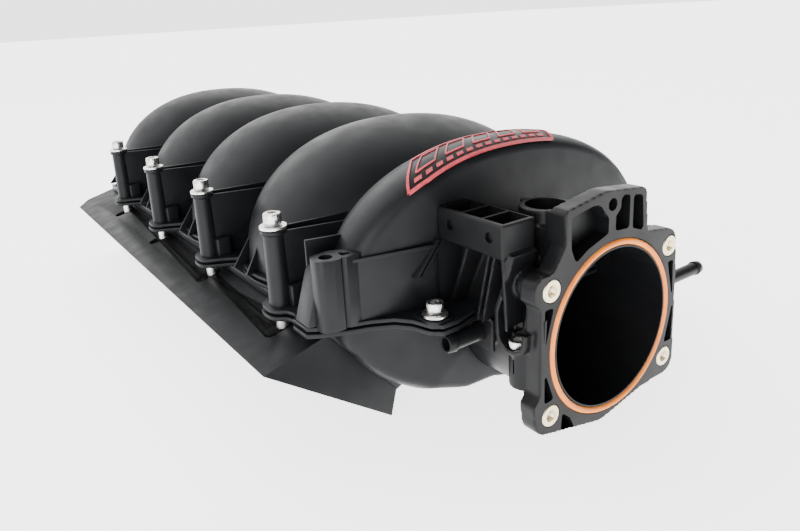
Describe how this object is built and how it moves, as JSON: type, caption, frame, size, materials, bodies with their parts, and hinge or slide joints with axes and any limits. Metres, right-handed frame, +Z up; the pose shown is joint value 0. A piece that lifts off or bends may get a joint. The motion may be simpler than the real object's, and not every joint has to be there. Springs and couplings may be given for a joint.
{
  "type": "intake manifold",
  "caption": "Moulded intake manifold for a V engine: humped two-shell plenum over curved runners, angled head rails with ports, and a flanged round throttle neck.",
  "frame": {"origin": "centre of the bounding box in plan, at the lowest edge of the head rails", "axes": "+Y runs from the throttle flange to the rear of the engine, +Z up, +X to the right as seen from the throttle side"},
  "size_m": [0.326, 0.5657, 0.1646],
  "materials": {
    "shell_nylon": "satin moulded",
    "neck_nylon": "satin moulded",
    "rail_nylon": "satin moulded",
    "runner_nylon": "smooth moulded",
    "orange_silicone": "satin",
    "dark_rubber": "matte",
    "port_rubber": "matte",
    "brass": "turned",
    "zinc_steel": "zinc plated",
    "badge_red": "satin"
  },
  "bodies": {
    "root": {"upper_shell": "shell_nylon", "lower_shell": "shell_nylon", "throttle_neck": "neck_nylon", "throttle_seal": "orange_silicone", "throttle_insert_1": "brass", "throttle_insert_2": "brass", "throttle_insert_3": "brass", "throttle_insert_4": "brass", "shell_seal": "dark_rubber", "shell_screw_1": "zinc_steel", "shell_screw_2": "zinc_steel", "shell_screw_3": "zinc_steel", "shell_screw_4": "zinc_steel", "shell_screw_washer_1": "zinc_steel", "shell_screw_washer_2": "zinc_steel", "shell_screw_washer_3": "zinc_steel", "shell_screw_washer_4": "zinc_steel", "neck_screw": "zinc_steel", "badge_plate": "badge_red", "left_head_rail": "rail_nylon", "left_port_seal_1": "port_rubber", "left_port_seal_2": "port_rubber", "left_port_seal_3": "port_rubber", "left_port_seal_4": "port_rubber", "left_manifold_bolt_1": "zinc_steel", "left_manifold_bolt_2": "zinc_steel", "left_manifold_bolt_3": "zinc_steel", "left_manifold_bolt_4": "zinc_steel", "left_bolt_washer_1": "zinc_steel", "left_bolt_washer_2": "zinc_steel", "left_bolt_washer_3": "zinc_steel", "left_bolt_washer_4": "zinc_steel", "left_vacuum_nipple": "neck_nylon", "left_runner_1": "runner_nylon", "left_runner_2": "runner_nylon", "left_runner_3": "runner_nylon", "left_runner_4": "runner_nylon", "right_head_rail": "rail_nylon", "right_port_seal_1": "port_rubber", "right_port_seal_2": "port_rubber", "right_port_seal_3": "port_rubber", "right_port_seal_4": "port_rubber", "right_manifold_bolt_1": "zinc_steel", "right_manifold_bolt_2": "zinc_steel", "right_manifold_bolt_3": "zinc_steel", "right_manifold_bolt_4": "zinc_steel", "right_bolt_washer_1": "zinc_steel", "right_bolt_washer_2": "zinc_steel", "right_bolt_washer_3": "zinc_steel", "right_bolt_washer_4": "zinc_steel", "right_vacuum_nipple": "neck_nylon", "right_runner_1": "runner_nylon", "right_runner_2": "runner_nylon", "right_runner_3": "runner_nylon", "right_runner_4": "runner_nylon"}
  },
  "joints": []
}
